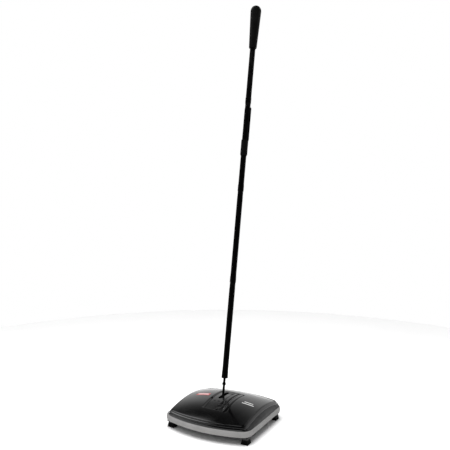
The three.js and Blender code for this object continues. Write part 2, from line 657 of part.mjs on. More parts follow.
handle.position.set(PIVOT.x, PIVOT.y, PIVOT.z);
handle.rotation.x = -HANDLE_LEAN;
place(handle, 'handle_rod', handleRod(), steel);
place(handle, 'rod_collar', rodCollar(), steel);
place(handle, 'tube_plug', tubePlug(), satinBlack);
const tubeNames = ['handle_tube_1', 'handle_tube_2', 'handle_tube_3', 'handle_tube_4'];
tubeNames.forEach((name, index) => {
  const start = TUBE.start + index * TUBE.pitch;
  const isTop = index === tubeNames.length - 1;
  const end = isTop ? GRIP.end - TUBE.insideGrip : start + TUBE.pitch;
  place(handle, name, handleTube(start, end, !isTop), tubePaint);
});
place(handle, 'hand_sleeve', handSleeve(), satinBlack);
place(handle, 'hand_grip', handGrip(), gripFoam);
parts.add(handle);

// The finished part stands with the middle of its bounding box over the origin.
const bounds = new THREE.Box3().setFromObject(parts, true);
parts.position.y = -(bounds.min.y + bounds.max.y) / 2;

const group = new THREE.Group();
group.add(parts);

export default group;
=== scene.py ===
import json
import math
import random

import bmesh
import bpy
from mathutils import Matrix, Vector

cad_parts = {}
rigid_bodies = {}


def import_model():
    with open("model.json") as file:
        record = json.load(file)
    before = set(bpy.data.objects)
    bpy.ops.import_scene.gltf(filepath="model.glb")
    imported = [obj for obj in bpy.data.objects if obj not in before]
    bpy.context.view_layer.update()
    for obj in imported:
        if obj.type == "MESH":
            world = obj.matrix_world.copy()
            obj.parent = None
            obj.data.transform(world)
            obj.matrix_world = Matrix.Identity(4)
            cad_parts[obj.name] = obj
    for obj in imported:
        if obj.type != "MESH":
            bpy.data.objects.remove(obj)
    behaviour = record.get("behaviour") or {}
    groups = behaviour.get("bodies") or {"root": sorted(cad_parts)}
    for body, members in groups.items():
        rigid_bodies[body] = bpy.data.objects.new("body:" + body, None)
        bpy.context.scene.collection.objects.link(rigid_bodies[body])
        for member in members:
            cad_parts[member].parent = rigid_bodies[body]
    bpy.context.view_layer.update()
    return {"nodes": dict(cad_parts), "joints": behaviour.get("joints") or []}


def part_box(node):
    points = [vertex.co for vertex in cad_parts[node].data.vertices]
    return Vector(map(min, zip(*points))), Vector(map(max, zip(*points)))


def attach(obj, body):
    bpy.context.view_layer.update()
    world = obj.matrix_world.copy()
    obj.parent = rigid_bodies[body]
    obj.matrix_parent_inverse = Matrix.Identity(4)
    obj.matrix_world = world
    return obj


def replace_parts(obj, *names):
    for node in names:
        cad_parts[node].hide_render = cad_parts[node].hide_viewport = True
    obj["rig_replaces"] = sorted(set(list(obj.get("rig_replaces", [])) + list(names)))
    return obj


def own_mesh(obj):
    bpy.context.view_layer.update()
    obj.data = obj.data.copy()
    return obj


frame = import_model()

MM = 0.001

# ---- where things are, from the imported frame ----

bumper_low, bumper_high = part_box("bumper")
panel_low, panel_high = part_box("center_panel")
button_low, button_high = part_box("release_button")
HEAD_Y = (bumper_low.y + bumper_high.y) / 2
HALF_WIDTH = bumper_high.x
joint_named = {joint["name"]: joint for joint in frame["joints"]}
PIVOT = Vector(joint_named["handle_tilt"]["pos_m"])
ROLL = Vector(joint_named["roll_spin"]["pos_m"])

# ---- shape of the head, as the CAD model has it ----

# In plan, x and y are measured from the middle of the bumper, so a point's place in the frame is
# (x, y + HEAD_Y). The outline has straight sides and a bowed front and back. The cover's rim stands on
# the bumper, and its dome rises from a ledge to a crown that is lower at the sides than in the middle.

HALF_DEPTH = 101 * MM
BOW = bumper_high.y - HEAD_Y - HALF_DEPTH
CORNER_RADIUS = 22 * MM
FOOT_Z = bumper_high.z + 0.3 * MM
LEDGE_Z = 46 * MM
EDGE_X = 108.5 * MM
LEDGE_INSET = 10 * MM
CROWN = 76 * MM
SIDE_CROWN = 60 * MM
DOME_POWER = 1.9
COVER_WALL = 2.5 * MM
PANEL_LEFT, PANEL_RIGHT = panel_low.x, panel_high.x
PANEL_FRONT, PANEL_BACK = panel_low.y - HEAD_Y, panel_high.y - HEAD_Y
PANEL_RECESS = 3 * MM
OPENING_RADIUS = 6 * MM
SLOT_HALF_WIDTH = 5.5 * MM
SLOT_FRONT, SLOT_BACK = -21 * MM, 27 * MM
HANDLE_LEAN = math.radians(10.4)


def edge_y(inset, x):
    """How far the head's outline stands out to the front and back of its middle line."""
    return HALF_DEPTH - inset + BOW * (1 - (x / HALF_WIDTH) ** 2)


def dome_z(x, y):
    """Height of the cover's dome."""
    across = min(abs(x), EDGE_X)
    crown = SIDE_CROWN + (CROWN - SIDE_CROWN) * (1 - (across / EDGE_X) ** 2)
    along = min(abs(y) / edge_y(LEDGE_INSET, across), 1)
    return LEDGE_Z + (crown - LEDGE_Z) * (1 - along ** DOME_POWER)


def mix(a, b, t):
    return a + (b - a) * t


def smooth(value):
    """Eases from 0 to 1 as the value goes from 0 to 1."""
    t = min(max(value, 0), 1)
    return t * t * (3 - 2 * t)


# ---- mesh helpers ----

def mesh_from(name, vertices, faces, sharp_angle=32):
    mesh = bpy.data.meshes.new(name)
    mesh.from_pydata([tuple(v) for v in vertices], [], faces)
    return shade(mesh, sharp_angle, weld=True)


def shade(mesh, sharp_angle, weld=False):
    """Shades every face smooth, and keeps an edge sharp where its faces turn by more than the angle.

    Welding merges doubled points first, and turns the faces out.
    """
    work = bmesh.new()
    work.from_mesh(mesh)
    if weld:
        bmesh.ops.remove_doubles(work, verts=work.verts, dist=1e-7)
        bmesh.ops.recalc_face_normals(work, faces=work.faces)
    limit = math.radians(sharp_angle)
    for face in work.faces:
        face.smooth = True
    for edge in work.edges:
        edge.smooth = len(edge.link_faces) != 2 or edge.calc_face_angle(0) < limit
    work.to_mesh(mesh)
    work.free()
    return mesh


def soft_edges(thing, width, sharp_angle):
    """A narrow bevel along the sharp edges."""
    bevel = thing.modifiers.new("soft_edges", "BEVEL")
    bevel.width = width
    bevel.segments = 2
    bevel.limit_method = "ANGLE"
    bevel.angle_limit = math.radians(sharp_angle)


def loft(rings, closed=False):
    """Vertices and quads through rings of equal length; closed joins the last ring to the first."""
    count = len(rings[0])
    vertices = [point for ring in rings for point in ring]
    faces = []
    spans = len(rings) if closed else len(rings) - 1
    for i in range(spans):
        a = i * count
        b = ((i + 1) % len(rings)) * count
        for j in range(count):
            k = (j + 1) % count
            faces.append((a + j, a + k, b + k, b + j))
    return vertices, faces


def circle(radius, steps):
    """Points (x, y) round a circle."""
    angles = [2 * math.pi * step / steps for step in range(steps)]
    return [(radius * math.cos(angle), radius * math.sin(angle)) for angle in angles]


def lathe(profile, segments=48, closed=True):
    """A turned solid about Z from (radius, z) points; closed joins the profile's last point to its first.

    Where an open profile meets the axis, at radius 0, it closes to a point.
    """
    rings = [[Vector((x, y, z)) for x, y in circle(radius, segments)] for radius, z in profile]
    return loft(rings, closed)


def slab(top, low, wide):
    """A thin body between two grids of points, listed row after row with wide points in a row."""
    rows, below = len(top) // wide, len(top)
    faces = []
    for i in range(rows - 1):
        for j in range(wide - 1):
            a = i * wide + j
            faces.append((a, a + wide, a + wide + 1, a + 1))
            faces.append((below + a, below + a + 1, below + a + wide + 1, below + a + wide))
    last = (rows - 1) * wide
    rim = [i * wide for i in range(rows)] + [last + j for j in range(1, wide)]
    rim += [i * wide + wide - 1 for i in reversed(range(rows - 1))]
    rim += list(reversed(range(1, wide - 1)))
    for a, b in zip(rim, rim[1:] + rim[:1]):
        faces.append((a, below + a, below + b, b))
    return top + low, faces


def moved(vertices, matrix):
    return [matrix @ Vector(v) for v in vertices]


def bezier(a, control, b, t):
    """A point on a quadratic curve from a to b."""
    return (1 - t) ** 2 * a + 2 * t * (1 - t) * control + t * t * b


def rounded(points, radius, steps=4):
    """An open profile with each corner between its two ends rounded."""
    result = [points[0]]
    for before, corner, after in zip(points, points[1:], points[2:]):
        c = Vector(corner)
        to_before = Vector(before) - c
        to_after = Vector(after) - c
        reach = min(radius, to_before.length / 2.1, to_after.length / 2.1)
        a = c + to_before.normalized() * reach
        b = c + to_after.normalized() * reach
        result += [tuple(bezier(a, c, b, step / steps)) for step in range(steps + 1)]
    result.append(points[-1])
    return result


def closed_rounded(points, radius, steps=4):
    """A closed profile with every corner rounded."""
    looped = [points[-1], *points, points[0]]
    return rounded(looped, radius, steps)[1:-1]


# ---- loops round the head ----

SIDE_STEPS, CORNER_STEPS, FRONT_STEPS = 30, 14, 56


def plan_loop(left, right, front, back, radius):
    """A loop in plan: straight sides, rounded corners, and front and back edges given as y of x.

    Each point is (x, y, side share); the share is 1 on the sides and 0 on front and back.
    """
    middle = (left + right) / 2
    points = []

    def corner(x_in, x_out, edge, y_sign, to_side):
        side_end = Vector((x_out, edge(x_out) - y_sign * radius))
        control = Vector((x_out, edge(x_out)))
        edge_end = Vector((x_in, edge(x_in)))
        start, end = (edge_end, side_end) if to_side else (side_end, edge_end)
        for step in range(CORNER_STEPS):
            t = step / CORNER_STEPS
            point = bezier(start, control, end, t)
            points.append((point.x, point.y, smooth(t) if to_side else 1 - smooth(t)))

    def bowed(x0, x1, edge):
        a, b = Vector((x0, edge(x0))), Vector((x1, edge(x1)))
        control = Vector((middle, 2 * edge(middle) - (a.y + b.y) / 2))
        curve = [bezier(a, control, b, step / FRONT_STEPS) for step in range(FRONT_STEPS)]
        points.extend((point.x, point.y, 0.0) for point in curve)

    def side(x, y0, y1):
        for step in range(SIDE_STEPS):
            points.append((x, mix(y0, y1, step / SIDE_STEPS), 1.0))

    side(right, front(right) + radius, back(right) - radius)
    corner(right - radius, right, back, 1, False)
    bowed(right - radius, left + radius, back)
    corner(left + radius, left, back, 1, True)
    side(left, back(left) - radius, front(left) + radius)
    corner(left + radius, left, front, -1, False)
    bowed(left + radius, right - radius, front)
    corner(right - radius, right, front, -1, True)
    return points


def head_loop(front_inset, side_inset):
    """The head's outline, moved in by one inset at the front and back and another at the sides."""
    radius = max(CORNER_RADIUS - side_inset * 0.8, 9 * MM)
    right = HALF_WIDTH - side_inset

    def back(x):
        return edge_y(front_inset, x)

    return plan_loop(-right, right, lambda x: -back(x), back, radius)


def opening_loop(grow_left, grow_right, grow_front, grow_back):
    """The centre panel's outline, moved out on each side."""
    left, right = PANEL_LEFT - grow_left, PANEL_RIGHT + grow_right
    front, back = PANEL_FRONT - grow_front, PANEL_BACK + grow_back
    return plan_loop(left, right, lambda x: front, lambda x: back, OPENING_RADIUS)


def ring_at(loop, height):
    """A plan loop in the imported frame, lifted to a height that is a function of x, y and side share."""
    return [Vector((x, y + HEAD_Y, height(x, y, share))) for x, y, share in loop]


# ---- materials ----

def node_material(name):
    """A new material, its node tree and its main shader."""
    material = bpy.data.materials.new(name)
    material.use_nodes = True
    tree = material.node_tree
    shader = next(node for node in tree.nodes if node.type == "BSDF_PRINCIPLED")
    return material, tree, shader


def noise(tree, scale, detail=4, stretch=(1, 1, 1), distortion=0.0):
    """A noise texture on object coordinates in metres; a stretch below 1 draws it out along that axis."""
    coordinates = tree.nodes.new("ShaderNodeTexCoord")
    mapping = tree.nodes.new("ShaderNodeMapping")
    mapping.inputs["Scale"].default_value = stretch
    texture = tree.nodes.new("ShaderNodeTexNoise")
    texture.inputs["Scale"].default_value = scale
    texture.inputs["Detail"].default_value = detail
    texture.inputs["Distortion"].default_value = distortion
    tree.links.new(coordinates.outputs["Object"], mapping.inputs["Vector"])
    tree.links.new(mapping.outputs["Vector"], texture.inputs["Vector"])
    return texture.outputs["Fac"]


def as_colour(value):
    """A grey value or an RGB triple as an opaque colour."""
    return (*value, 1) if isinstance(value, tuple) else (value, value, value, 1)


def ramp(tree, factor, stops):
    """Stops are (position, grey value or colour)."""
    node = tree.nodes.new("ShaderNodeValToRGB")
    elements = node.color_ramp.elements
    while len(elements) < len(stops):
        elements.new(0.5)
    for element, (position, value) in zip(elements, stops):
        element.position = position
        element.color = as_colour(value)
    tree.links.new(factor, node.inputs["Fac"])
    return node.outputs["Color"]


def blended(tree, factor, a, b):
    """A colour mix; a and b are sockets, grey values or colours."""
    node = tree.nodes.new("ShaderNodeMix")
    node.data_type = "RGBA"
    tree.links.new(factor, node.inputs["Factor"])
    for value, socket in ((a, node.inputs["A"]), (b, node.inputs["B"])):
        if isinstance(value, (float, tuple)):
            socket.default_value = as_colour(value)
        else:
            tree.links.new(value, socket)
    return node.outputs["Result"]


def combined(tree, operation, a, b):
    """A Math node; a and b are sockets or numbers."""
    node = tree.nodes.new("ShaderNodeMath")
    node.operation = operation
    for value, socket in ((a, node.inputs[0]), (b, node.inputs[1])):
        if isinstance(value, (int, float)):
            socket.default_value = value
        else:
            tree.links.new(value, socket)
    return node.outputs[0]


def finish(tree, shader, tone, uneven, rough, layers):
    """Base colour, roughness as stops on an uneven noise, and layers of bump.

    A bump layer is (height socket, strength, distance in metres).
    """
    tree.links.new(tone, shader.inputs["Base Color"])
    tree.links.new(ramp(tree, uneven, rough), shader.inputs["Roughness"])
    normal = None
    for height, strength, distance in layers:
        bump = tree.nodes.new("ShaderNodeBump")
        bump.inputs["Strength"].default_value = strength
        bump.inputs["Distance"].default_value = distance
        tree.links.new(height, bump.inputs["Height"])
        if normal is not None:
            tree.links.new(normal, bump.inputs["Normal"])
        normal = bump.outputs["Normal"]
    tree.links.new(normal, shader.inputs["Normal"])


def worn_edges(tree, base, worn):
    """Base colour with a lighter tone along convex edges, broken up by noise."""
    geometry = tree.nodes.new("ShaderNodeNewGeometry")
    edge = ramp(tree, geometry.outputs["Pointiness"], [(0.53, 0.0), (0.6, 1.0)])
    patch = ramp(tree, noise(tree, 90, 5), [(0.42, 0.0), (0.62, 1.0)])
    return blended(tree, combined(tree, "MULTIPLY", edge, patch), base, worn)


def gloss_black():
    """Polished plastic with dust specks, smears, orange peel and fine scratches."""
    material, tree, shader = node_material("gloss_black")
    dark, light = (0.0008, 0.0008, 0.0009), (0.0016, 0.0016, 0.0017)
    tone = ramp(tree, noise(tree, 14, 3), [(0.35, dark), (0.7, light)])
    dust = ramp(tree, noise(tree, 1400, 2), [(0.78, 0.0), (0.84, 0.15)])
    smears = noise(tree, 22, 6, (1, 0.35, 1), 0.8)
    peel = noise(tree, 260, 2)
    scratch = ramp(tree, noise(tree, 420, 3, (0.06, 1, 1)), [(0.66, 0.0), (0.7, 1.0)])
    layers = [(peel, 0.05, 0.0002), (scratch, 0.04, 0.00005)]
    finish(tree, shader, blended(tree, dust, tone, 0.02), smears, [(0.3, 0.1), (0.75, 0.2)], layers)
    return material


def moulded(name, dark, light, rough, grain=1500, depth=0.0001, worn=None, mottle=35, shine=0.5):
    """Moulded plastic or rubber with a fine grain, uneven tone and roughness, and worn edges.

    The grain's depth is in metres; grain and mottle are noise scales.
    """
    material, tree, shader = node_material(name)
    shader.inputs["Specular IOR Level"].default_value = shine
    tone = ramp(tree, noise(tree, mottle, 5), [(0.3, dark), (0.72, light)])
    if worn:
        tone = worn_edges(tree, tone, worn)
    uneven = noise(tree, mottle * 2.3, 4)
    layers = [(noise(tree, grain, 3), 0.35, depth), (noise(tree, grain / 7, 2), 0.12, depth)]
    finish(tree, shader, tone, uneven, [(0.3, rough[0]), (0.7, rough[1])], layers)
    return material


def painted_steel():
    """Black powder coat, rubbed along the tubes and worn at their edges."""
    material, tree, shader = node_material("black_powder_coat")
    tone = ramp(tree, noise(tree, 60, 5), [(0.3, 0.0005), (0.7, 0.0013)])
    shader.inputs["Specular IOR Level"].default_value = 0.03
    rubbed = noise(tree, 45, 6, (1, 1, 0.12))
    layers = [(noise(tree, 900, 2), 0.12, 0.0001)]
    finish(tree, shader, worn_edges(tree, tone, 0.01), rubbed, [(0.3, 0.32), (0.7, 0.46)], layers)
    return material


def bare_steel():
    """Zinc-plated steel with brushed marks."""
    material, tree, shader = node_material("zinc_plated_steel")
    shader.inputs["Metallic"].default_value = 1.0
    tone = ramp(tree, noise(tree, 120, 5), [(0.3, (0.36, 0.36, 0.37)), (0.7, 0.56)])
    brushed = noise(tree, 700, 4, (0.08, 1, 1))
    finish(tree, shader, tone, brushed, [(0.3, 0.22), (0.7, 0.42)], [(brushed, 0.1, 0.00005)])
    return material


def bristle_nylon():
    material, tree, shader = node_material("bristle_nylon")
    tone = ramp(tree, noise(tree, 500, 2), [(0.35, 0.0015), (0.7, 0.006)])
    shader.inputs["Specular IOR Level"].default_value = 0.04
    layers = [(noise(tree, 2500, 2), 0.1, 0.00005)]
    finish(tree, shader, tone, noise(tree, 300, 2), [(0.3, 0.35), (0.7, 0.6)], layers)
    return material


GLOSS = gloss_black()
SKIRT = moulded("textured_black", (0.008, 0.008, 0.0083), (0.014, 0.014, 0.0144), (0.5, 0.65),
                grain=1900, depth=0.00012)
PANEL = moulded("satin_black", (0.0012, 0.0012, 0.0013), (0.0026, 0.0026, 0.0027), (0.16, 0.26),
                depth=0.00006, shine=0.4)
BUMPER = moulded("grey_bumper", (0.20, 0.197, 0.194), (0.245, 0.241, 0.238), (0.55, 0.72),
                 grain=1300, worn=(0.3, 0.296, 0.292), mottle=24)
CHASSIS = moulded("chassis_black", 0.004, 0.01, (0.5, 0.65), grain=1700, depth=0.00015, worn=0.03, shine=0.3)
PAN = moulded("pan_black", 0.006, (0.014, 0.0135, 0.013), (0.42, 0.62), worn=0.04, mottle=50, shine=0.3)
CORE = moulded("roll_core_grey", (0.03, 0.03, 0.032), (0.055, 0.055, 0.057), (0.45, 0.6))
RUBBER = moulded("black_rubber", 0.005, (0.012, 0.012, 0.0115), (0.65, 0.85),
                 grain=1100, depth=0.00015, worn=(0.04, 0.039, 0.037), shine=0.3)
HUB = moulded("hub_plastic", (0.012, 0.012, 0.0125), (0.022, 0.022, 0.0225), (0.4, 0.55), shine=0.35)
GRIP = moulded("grip_black", 0.0015, 0.003, (0.45, 0.62), grain=1600, depth=0.00012, shine=0.06)
TUBE = painted_steel()
STEEL = bare_steel()
NYLON = bristle_nylon()
BADGE_RED = moulded("badge_red", (0.3, 0.014, 0.018), (0.37, 0.02, 0.024), (0.25, 0.35))
BADGE_PALE = moulded("badge_pale", (0.66, 0.5, 0.5), (0.76, 0.6, 0.6), (0.3, 0.4))
MARK_WHITE = moulded("mark_white", 0.5, (0.62, 0.62, 0.61), (0.4, 0.5))


def paint(thing, material):
    thing.data.materials.clear()
    thing.data.materials.append(material)
    return thing


def piece(name, vertices, faces, body, replaced, material, sharp_angle=32):
    """A piece that rides on a body, with the CAD nodes it replaces and material."""
    thing = bpy.data.objects.new(name, mesh_from(name, vertices, faces, sharp_angle))
    bpy.context.scene.collection.objects.link(thing)
    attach(thing, body)
    if replaced:
        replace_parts(thing, *replaced)
    return paint(thing, material)


# ---- the head: cover ----

# Rings go round the cover from its foot, up over the outside, down through the opening and back
# along the inside. The first number of a pair of insets is for the front and back.

# The rim's section from its foot to the dome: inset from the bumper face and drop below the dome's
# edge, first for the front and back, then for the sides.
RIM_SECTION = (
    (2.7, 6.6, 2.5, 16.0), (3.2, 5.0, 4.6, 13.0), (3.6, 4.4, 7.2, 10.4), (3.9, 4.0, 9.2, 8.7),
    (4.3, 3.9, 9.7, 8.4), (5.5, 4.2, 11.0, 8.3), (5.6, 3.6, 11.1, 7.6), (4.9, 3.0, 10.4, 7.2),
    (4.8, 2.3, 10.4, 6.5), (5.2, 1.5, 10.9, 5.3), (6.2, 0.6, 12.0, 3.6), (7.8, -0.3, 13.4, 2.0),
    (9.4, -0.8, 14.6, 1.0), (10.8, -0.9, 15.4, 0.5), (11.4, -0.5, 15.8, 0.6), (11.6, 0.9, 16.0, 1.9),
    (12.5, 1.2, 16.9, 2.1), (12.8, 0.5, 17.3, 0.9), (13.3, 0.1, 17.8, 0.2), (14.2, 0.0, 18.8, 0.0),
)

# The matt side panels lie below the bead: how far they reach in from the side, how far below the
# dome's edge they end, and how far they run to the front and back.
SIDE_PANEL_INSET, SIDE_PANEL_DROP, SIDE_PANEL_END = 11.2 * MM, 7.9 * MM, 93 * MM


def cover_rings():
    """Rings from the cover's foot up over the side panels, the bead and the dome, to the opening."""
    def rim_height(front_drop, side_drop):
        def height(x, y, share):
            edge = dome_z(math.copysign(min(abs(x), EDGE_X), x), y)
            return max(edge - mix(front_drop, side_drop, share) * MM, FOOT_Z + 0.4 * MM)
        return height

    rings = [
        ring_at(head_loop(2.9 * MM, 2.7 * MM), lambda x, y, share: FOOT_Z),
        ring_at(head_loop(2.6 * MM, 2.4 * MM), lambda x, y, share: FOOT_Z + 0.3 * MM),
    ]
    for front_inset, front_drop, side_inset, side_drop in RIM_SECTION:
        loop = head_loop(front_inset * MM, side_inset * MM)
        rings.append(ring_at(loop, rim_height(front_drop, side_drop)))
    outer = head_loop(RIM_SECTION[-1][0] * MM, RIM_SECTION[-1][2] * MM)
    left, right, front, back = OPENING_SECTION[0][:4]
    inner = opening_loop(left * MM, right * MM, front * MM, back * MM)
    dome_rings = 36
    for step in range(1, dome_rings):
        t = step / dome_rings
        blend = [(mix(a[0], b[0], t), mix(a[1], b[1], t), 0) for a, b in zip(outer, inner)]
        rings.append(ring_at(blend, lambda x, y, share: dome_z(x, y)))
    return rings


# The opening's section from the dome down to the panel: how far it reaches past the panel on the
# left, right, front and back, then how deep it lies there.
OPENING_SECTION = (
    (4.6, 10.8, 1.7, 2.4, 0.0, 0.0, 0.0, 0.0), (4.3, 10.2, 1.5, 2.2, 0.1, 0.15, 0.05, 0.1),
    (3.9, 9.7, 1.3, 2.0, 0.35, 1.4, 0.15, 0.2), (3.5, 9.2, 1.15, 1.8, 0.8, 2.0, 0.3, 0.3),
    (3.1, 7.4, 1.0, 1.6, 1.4, 2.0, 0.5, 0.4), (2.7, 6.5, 0.9, 1.4, 2.05, 1.6, 0.8, 0.5),
    (2.3, 6.1, 0.8, 1.2, 2.7, 0.3, 1.1, 0.55), (1.9, 5.2, 0.7, 1.0, 3.35, 0.05, 1.5, 0.6),
    (1.5, 2.6, 0.6, 0.8, 4.0, 0.1, 2.0, 0.65), (1.1, 1.4, 0.5, 0.6, 4.4, 0.12, 2.6, 0.7),
    (0.7, 0.6, 0.4, 0.5, 4.6, 0.4, 3.4, 1.0), (0.3, 0.3, 0.3, 0.3, 4.8, 1.4, 4.8, 4.8),
    (2.6, 2.6, 2.6, 2.6, 4.8, 4.8, 4.8, 4.8),
)


def cover_opening_rings():
    """Rings down the opening's walls; near its left and right ends the sides' depths take over."""
    rings, reach = [], 7 * MM
    for left, right, front, back, left_deep, right_deep, front_deep, back_deep in OPENING_SECTION:
        def height(x, y, share):
            end = front_deep if y < 0 else back_deep
            on_right = smooth((x - PANEL_RIGHT + reach) / reach)
            on_left = smooth((PANEL_LEFT + reach - x) / reach)
            return dome_z(x, y) - mix(mix(end, right_deep, on_right), left_deep, on_left) * MM

        loop = opening_loop(left * MM, right * MM, front * MM, back * MM)
        rings.append(ring_at(loop, height))
    return rings


def cover_inside_rings():
    """Rings along the cover's inside, from the opening out and down to the foot."""
    rings = []
    for front_inset, side_inset in ((34, 36), (17, 21)):
        loop = head_loop(front_inset * MM, side_inset * MM)
        rings.append(ring_at(loop, lambda x, y, share: dome_z(x, y) - COVER_WALL))
    rings.append(ring_at(head_loop(7 * MM, 12 * MM), lambda x, y, share: FOOT_Z + 4 * MM))
    rings.append(ring_at(head_loop(5 * MM, 5 * MM), lambda x, y, share: FOOT_Z))
    return rings


def is_side_panel(centre):
    """True for a face of the cover that lies on a matt side panel."""
    x, y = abs(centre.x), centre.y - HEAD_Y
    edge = dome_z(min(x, EDGE_X), y)
    outside = x > HALF_WIDTH - SIDE_PANEL_INSET and abs(y) < SIDE_PANEL_END
    return outside and centre.z < edge - SIDE_PANEL_DROP


def top_cover():
    rings = cover_rings() + cover_opening_rings() + cover_inside_rings()
    vertices, faces = loft(rings, closed=True)
    cover = piece("cover_shell", vertices, faces, "base", ["top_cover"], GLOSS, 40)
    cover.data.materials.append(SKIRT)
    for face in cover.data.polygons:
        face.material_index = 1 if is_side_panel(face.center) else 0


# ---- the head: centre panel ----

# Across the panel from its left: (x in mm, depth below the dome), in front of the slot's back end.
PANEL_SECTION = (
    (-21.0, 3.0), (12.0, 3.0), (14.4, 3.8), (17.8, 4.2), (19.0, 1.2), (20.2, 0.5), (24.2, 0.4),
    (25.2, 0.8), (26.4, 3.8), (29.0, 4.2), (30.2, 0.9), (31.4, 0.15), (33.9, 0.1), (34.5, 0.4),
)
INNER_STRIP_LEFT, OUTER_STRIP_LEFT = 18, 27


def floor_depth(y):
    """How deep the sunk floor lies below the dome."""
    return PANEL_RECESS + 0.9 * MM * smooth((-34 * MM - y) / (30 * MM))


def panel_surface_z(x, y):
    """A sunk floor on the left and two raised strips on the right, with a groove beside each."""
    across = x / MM
    for (x0, deep0), (x1, deep1) in zip(PANEL_SECTION, PANEL_SECTION[1:]):
        if across <= x1 + 0.01:
            depth = mix(deep0, deep1, smooth((across - x0) / (x1 - x0))) * MM
            break
    if across < INNER_STRIP_LEFT:
        depth = mix(depth + floor_depth(y) - PANEL_RECESS, 0.7 * MM, smooth((y - 14 * MM) / (18 * MM)))
    else:
        strip_front = -44 * MM if across < OUTER_STRIP_LEFT else -63 * MM
        depth = mix(floor_depth(y), depth, smooth((y - strip_front) / (11 * MM)))
        depth = mix(0.6 * MM, depth, smooth((PANEL_BACK - y) / (6 * MM)))
    return dome_z(x, y) - depth


def stations(start, end, edge, count):
    """Evenly spaced places from start to end, with one more a narrow edge away from each end."""
    inner = [mix(start + edge, end - edge, step / count) for step in range(1, count)]
    return [start, start + edge, *inner, end - edge, end]


def center_panel():
    edge, edge_drop, thickness = 0.6 * MM, 0.4 * MM, 6.2 * MM
    columns = stations(PANEL_LEFT, PANEL_RIGHT, edge, 92)
    rows = stations(PANEL_FRONT, PANEL_BACK, edge, 110)
    top, low = [], []
    for x in columns:
        for y in rows:
            on_edge = x in (columns[0], columns[-1]) or y in (rows[0], rows[-1])
            z = panel_surface_z(x, y) - (edge_drop if on_edge else 0)
            top.append(Vector((x, y + HEAD_Y, z)))
            low.append(Vector((x, y + HEAD_Y, dome_z(x, y) - thickness)))
    vertices, faces = slab(top, low, len(rows))
    panel = piece("panel_plate", vertices, faces, "base", ["center_panel"], PANEL)
    tools = (slot_cutter(), button_cutter(), *mark_cutters())
    for tool in tools:
        cut = panel.modifiers.new("cut", "BOOLEAN")
        cut.operation = "DIFFERENCE"
        cut.solver = "EXACT"
        cut.object = tool
    apply_modifiers(panel)
    for tool in tools:
        bpy.data.objects.remove(tool)
    shade(panel.data, 35)
    soft_edges(panel, 0.25 * MM, 40)
    paint(panel, PANEL)


def apply_modifiers(thing):
    graph = bpy.context.evaluated_depsgraph_get()
    mesh = bpy.data.meshes.new_from_object(thing.evaluated_get(graph))
    thing.modifiers.clear()
    thing.data = mesh


# Heights that a cutter for the panel starts and ends at, well below and above it.
CUT_LOW, CUT_HIGH = 50 * MM, 90 * MM


def cutter(name, outline, low=CUT_LOW):
    """A solid to cut with: an outline in plan, pulled from low to well above the panel."""
    name = f"cutter_{name}"
    count = len(outline)
    vertices = [(x, y + HEAD_Y, z) for z in (low, CUT_HIGH) for x, y in outline]
    faces = [tuple(range(count))[::-1], tuple(range(count, 2 * count))]
    faces += [(i, (i + 1) % count, count + (i + 1) % count, count + i) for i in range(count)]
    mesh = mesh_from(name, vertices, faces)
    thing = bpy.data.objects.new(name, mesh)
    bpy.context.scene.collection.objects.link(thing)
    thing.hide_render = True
    return thing


def oval(x, y, half_x, half_y, steps=32):
    return [(x + half_x * a, y + half_y * b) for a, b in circle(1, steps)]


def slot_cutter():
    """A slot with rounded ends, in plan."""
    outline = []
    radius = SLOT_HALF_WIDTH
    steps = 12
    for centre_y, start in ((SLOT_BACK - radius, 0), (SLOT_FRONT + radius, math.pi)):
        for step in range(steps + 1):
            angle = start + math.pi * step / steps
            outline.append((PIVOT.x + radius * math.cos(angle), centre_y + radius * math.sin(angle)))
    return cutter("slot", outline)


BUTTON_X = (button_low.x + button_high.x) / 2
BUTTON_Y = (button_low.y + button_high.y) / 2 - HEAD_Y
BUTTON_RADIUS = (button_high.x - button_low.x) / 2
BUTTON_CAP = 6 * MM
BUTTON_UNDERSIDE = button_high.z - BUTTON_CAP


def button_cutter():
    radius = BUTTON_RADIUS + 0.5 * MM
    return cutter("button", oval(BUTTON_X, BUTTON_Y, radius, radius, 64))


def mark_cutters():
    """Two small oval dimples in front of the slot."""
    y, depth = -34 * MM, 0.9 * MM
    for index, x in enumerate((-10 * MM, 2 * MM)):
        floor = dome_z(x, y) - PANEL_RECESS - depth
        yield cutter(f"mark_{index}", oval(x, y, 3.6 * MM, 1.7 * MM), floor)


def release_button():
    """A round cap with a dished top that follows the panel's slope, a soft rim and its stem."""
    r = BUTTON_RADIUS
    dish, stem_radius, stem_end = 0.5 * MM, 3 * MM, -9 * MM
    profile = [(0.0, -dish)]
    for share in (0.25, 0.45, 0.6, 0.7):
        profile.append((r * share, -dish * (1 - (share / 0.76) ** 2)))
    rim = [(r * 0.74, -0.05 * MM), (r, 0), (r, -BUTTON_CAP), (stem_radius, -BUTTON_CAP)]
    profile += rounded(rim, 1.1 * MM, 6)
    profile += [(stem_radius, stem_end), (0.0, stem_end)]
    vertices, faces = lathe(profile, 64, closed=False)
    for vertex in vertices:
        x, y = BUTTON_X + vertex.x, BUTTON_Y + vertex.y
        if vertex.z < -BUTTON_CAP / 2:
            vertex.z += BUTTON_UNDERSIDE + BUTTON_CAP
        else:
            sloped = vertex.z + dome_z(x, y) - floor_depth(y) + 0.5 * MM
            vertex.z = max(sloped, BUTTON_UNDERSIDE + 0.3 * MM)
        vertex.x, vertex.y = x, y + HEAD_Y
    piece("button_cap", vertices, faces, "button", ["release_button"], PANEL, 50)


